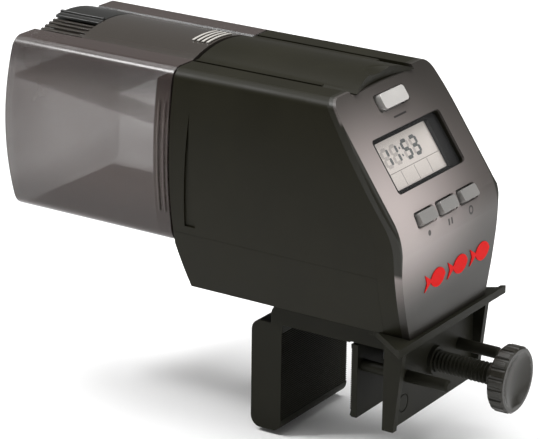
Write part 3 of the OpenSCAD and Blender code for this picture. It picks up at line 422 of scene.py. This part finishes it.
MATERIALS = {
    "body_black": body_black(),
    "clamp_black": clamp_black(),
    "gate_black": moulded("satin_black_gate", (0.009, 0.009, 0.008), 0.28, 0.15, 0.5).material,
    "bezel_black": moulded("bezel_black", (0.004, 0.004, 0.004), 0.5, 0.2, 0.2).material,
    "chip_black": moulded("board_black", (0.018, 0.018, 0.018), 0.45, 0.3).material,
    "panel_grey": graphite(),
    "smoke_plastic": smoke("smoke_hopper", (0.100, 0.077, 0.070), 0.54),
    "button_silver": silver("silver_lacquer", 0.24, 0.36),
    "lcd_grey": display_grey(),
    "lcd_clear": window_clear(),
    "emblem_red": red_print(),
    "steel": plated("zinc_steel", (0.58, 0.58, 0.60), 0.26),
    "motor_steel": plated("motor_steel", (0.50, 0.50, 0.51), 0.30, (0.1, 1, 1)),
    "magnet_nickel": plated("nickel_magnet", (0.62, 0.60, 0.57), 0.16),
    "brass": plated("turned_brass", (0.72, 0.50, 0.20), 0.24),
    "white_plastic": acetal(),
    "board_green": solder_mask(),
    "cell_wrap": cell_wrap(),
    "capacitor_blue": sleeve_blue(),
    "reed_green": reed_green(),
}
SMOKE_INSIDE = smoke_inside()
SMOKE_GUIDE = smoke("smoke_guide", (0.05, 0.042, 0.038), 0.08)
SMOKE_LID = smoke_lid()
KNOB_BLACK = knob_black()
FEED_SILVER = silver("bright_silver_lacquer", 0.60, 0.74)
SLOTS = {entry["node"]: entry["material_slot"] for entry in frame["record"]["subparts"]}


# ---- Building helpers ------------------------------------------------------------------------

def body_of(node):
    for body, members in frame["record"]["behaviour"]["bodies"].items():
        if node in members:
            return body


def finished(name, bm, material, body, stands_for=(), weighted=True):
    """Turns a bmesh into a piece with smooth faces and crisp edges, riding on its body."""
    mesh = bpy.data.meshes.new(name)
    bm.to_mesh(mesh)
    bm.free()
    mesh.polygons.foreach_set("use_smooth", [True] * len(mesh.polygons))
    mesh.set_sharp_from_angle(angle=SHARP_ANGLE)
    mesh.materials.append(material)
    piece = bpy.data.objects.new(name, mesh)
    bpy.context.scene.collection.objects.link(piece)
    if weighted:
        normals = piece.modifiers.new("even_shading", "WEIGHTED_NORMAL")
        normals.keep_sharp = True
        normals.weight = 100
    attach(piece, body)
    if stands_for:
        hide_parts(*stands_for)
    return piece


def taken_from(node):
    """A merged copy of a CAD node's mesh with its flat areas joined into single faces."""
    bm = bmesh.new()
    bm.from_mesh(nodes[node].data)
    bmesh.ops.remove_doubles(bm, verts=bm.verts, dist=MERGE_DISTANCE)
    bmesh.ops.dissolve_limit(bm, angle_limit=FLAT_ANGLE, verts=bm.verts, edges=bm.edges,
                             delimit=set())
    return bm


def rounded_copy(node, width, segments, material=None):
    """A CAD node remade with its edges rounded, which stands for the node."""
    bm = taken_from(node)
    chosen = [e for e in bm.edges
              if len(e.link_faces) == 2 and e.calc_face_angle(0) > ROUND_ABOVE]
    bmesh.ops.bevel(bm, geom=chosen, offset=width * MM, offset_type="OFFSET", segments=segments,
                    profile=0.5, affect="EDGES", clamp_overlap=True, material=-1)
    slot = SLOTS[node]
    return finished(node + "_moulding", bm, material or MATERIALS[slot], body_of(node),
                    (node,))


# ---- Pieces ----------------------------------------------------------------------------------

for node, slot in SLOTS.items():
    mesh = nodes[node].data
    if not mesh.materials:
        mesh.materials.append(None)
    for i in range(len(mesh.materials)):
        mesh.materials[i] = MATERIALS[slot]

# Edge radius of each remade moulding, in millimetres
ROUNDED = {
    "hopper_shell": 0.3, "hopper_hub": 0.25, "hopper_lid": 0.2, "dosing_gate": 0.25,
    "housing_main": 0.35, "bottom_cover": 0.35, "front_ring": 0.45, "control_panel": 0.4,
    "panel_emblem": 0.06, "feed_button": 0.5, "set_button_left": 0.5, "set_button_middle": 0.5,
    "set_button_right": 0.5, "lcd_bezel": 0.15, "battery_cover": 0.4, "clamp_bracket": 0.4,
    "movable_jaw": 0.12, "guide_pins": 0.2, "clamp_knob": 0.5,
}
OWN_FINISH = {"clamp_knob": KNOB_BLACK, "feed_button": FEED_SILVER, "hopper_lid": SMOKE_LID}
for node, width in ROUNDED.items():
    piece = rounded_copy(node, width, 3 if width >= 0.4 else 2, material=OWN_FINISH.get(node))
    if node == "hopper_shell":
        shell = piece

nodes["food_guide"].data.materials[0] = SMOKE_GUIDE
shell.data.materials.append(SMOKE_INSIDE)
drum_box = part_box("hopper_shell")
drum_middle = Vector(((drum_box[0][0] + drum_box[1][0]) / 2, 0, DRUM_AXIS_Z))
for face in shell.data.polygons:
    if face.normal.dot(face.center - drum_middle) < 0:
        face.material_index = 1


def on_face_plane(bm, lift):
    """Moves flat work, drawn across and up the face, to its place on the tilted face."""
    turn = Matrix((ACROSS, UP_FACE, OUT_FACE)).transposed().to_4x4()
    shift = Matrix.Translation(FACE_DATUM + OUT_FACE * lift)
    bmesh.ops.transform(bm, matrix=shift @ turn, verts=bm.verts)


def ink_bar(bm, x, y, wide, high, point=0.0):
    """A flat bar in millimetres; its corners are cut by point."""
    made = bmesh.ops.create_grid(bm, x_segments=1, y_segments=1, size=0.5)["verts"]
    bmesh.ops.scale(bm, verts=made, vec=(wide * MM, high * MM, 1))
    bmesh.ops.translate(bm, verts=made, vec=(x * MM, y * MM, 0))
    if point:
        bmesh.ops.bevel(bm, geom=made, offset=point * MM, offset_type="OFFSET", segments=1,
                        profile=0.5, affect="VERTICES", material=-1)


def figures(bm, lit):
    """Seven bars for each figure of 11:53: the lit ones, or the faint unlit ones."""
    bars = {"top": (0, 3.1, 3.0, 1.35), "middle": (0, 0, 3.0, 1.35), "foot": (0, -3.1, 3.0, 1.35),
            "left_up": (-1.75, 1.6, 1.35, 2.6), "right_up": (1.75, 1.6, 1.35, 2.6),
            "left_low": (-1.75, -1.6, 1.35, 2.6), "right_low": (1.75, -1.6, 1.35, 2.6)}
    shown = {"1": ("right_up", "right_low"), "5": ("top", "left_up", "middle", "right_low", "foot"),
             "3": ("top", "right_up", "middle", "right_low", "foot")}
    for figure, x in (("1", -12.6), ("1", -6.9), ("5", 0.6), ("3", 6.3)):
        for name, (dx, dy, wide, high) in bars.items():
            if (name in shown[figure]) == lit:
                ink_bar(bm, x + dx, FIGURE_ROW + dy, wide, high, 0.4)


def display_work(name, draw, thick, material):
    """Flat ink of a given thickness on the display glass, drawn by a function."""
    bm = bmesh.new()
    draw(bm)
    bmesh.ops.solidify(bm, geom=bm.faces[:], thickness=thick)
    bmesh.ops.recalc_face_normals(bm, faces=bm.faces)
    on_face_plane(bm, DISPLAY_TOP + thick)
    return finished(name, bm, material, "housing", weighted=False)


def lit_ink(bm):
    """The figures' lit bars, with the colon between them."""
    figures(bm, True)
    for y in (2.3, 5.0):
        ink_bar(bm, -3.1, y, 0.8, 0.9, 0.2)


def rules(bm):
    """A line under the figures and the uprights of four cells below it."""
    ink_bar(bm, 0, RULE_ROW, 34.4, 0.22)
    for x in (-8.6, 0, 8.6):
        ink_bar(bm, x, -4.9, 0.16, 5.2)


DISPLAY_TOP = max((v.co - FACE_DATUM).dot(OUT_FACE) for v in nodes["lcd_glass"].data.vertices)
display_work("display_lit_bars", lit_ink, 0.00006, display_ink())
display_work("display_faint_bars", lambda bm: figures(bm, False), 0.00004,
             display_ink("faint_ink", (0.56, 0.515, 0.48)))
display_work("display_rules", rules, 0.00005, display_ink("rule_ink", (0.24, 0.22, 0.205)))


# ---- Stage, lights and camera ----------------------------------------------------------------

floor_mesh = bmesh.new()
bmesh.ops.create_grid(floor_mesh, x_segments=1, y_segments=1, size=FLOOR_HALF)
bmesh.ops.translate(floor_mesh, verts=floor_mesh.verts, vec=(0, 0, FLOOR_Z))
mesh = bpy.data.meshes.new("floor")
floor_mesh.to_mesh(mesh)
floor_mesh.free()
mesh.materials.append(floor_pale())
floor = bpy.data.objects.new("floor", mesh)
bpy.context.scene.collection.objects.link(floor)


def soft_light(name, place, target, size, power):
    data = bpy.data.lights.new(name, "AREA")
    data.shape, data.size, data.size_y = "RECTANGLE", *size
    data.energy = power
    lamp = bpy.data.objects.new(name, data)
    lamp.location = place
    lamp.rotation_euler = (Vector(target) - Vector(place)).to_track_quat("-Z", "Y").to_euler()
    bpy.context.scene.collection.objects.link(lamp)


soft_light("overhead", (-0.1, 0.1, 1.1), (-0.03, 0, 0.03), (1.4, 1.2), 19)
soft_light("left_key", (-0.75, -0.5, 1.1), (-0.03, 0, 0.07), (0.32, 0.32), 12)
soft_light("right_fill", (1.0, 0.3, 0.5), (0.0, 0, 0.04), (0.8, 0.8), 5)

world = bpy.data.worlds.new("studio")
bpy.context.scene.world = world
world.use_nodes = True
sky = world.node_tree.nodes["Background"]
sky.inputs["Color"].default_value = (1, 1, 1, 1)
sky.inputs["Strength"].default_value = WORLD_STRENGTH

lens = bpy.data.cameras.new("camera")
lens.lens, lens.sensor_width = 184, 36
lens.clip_start, lens.clip_end = 0.05, 20
camera = bpy.data.objects.new("camera", lens)
camera_right = Vector((0.8389, 0.5440, 0.0130))
camera_back = Vector((0.5088, -0.7925, 0.3363))
camera_up = camera_back.cross(camera_right)
camera.matrix_world = Matrix.LocRotScale(
    Vector((0.4660, -0.7791, 0.3593)),
    Matrix((camera_right, camera_up, camera_back)).transposed().to_quaternion(), None)
bpy.context.scene.collection.objects.link(camera)
bpy.context.scene.camera = camera
bpy.context.scene.view_settings.view_transform = "Standard"
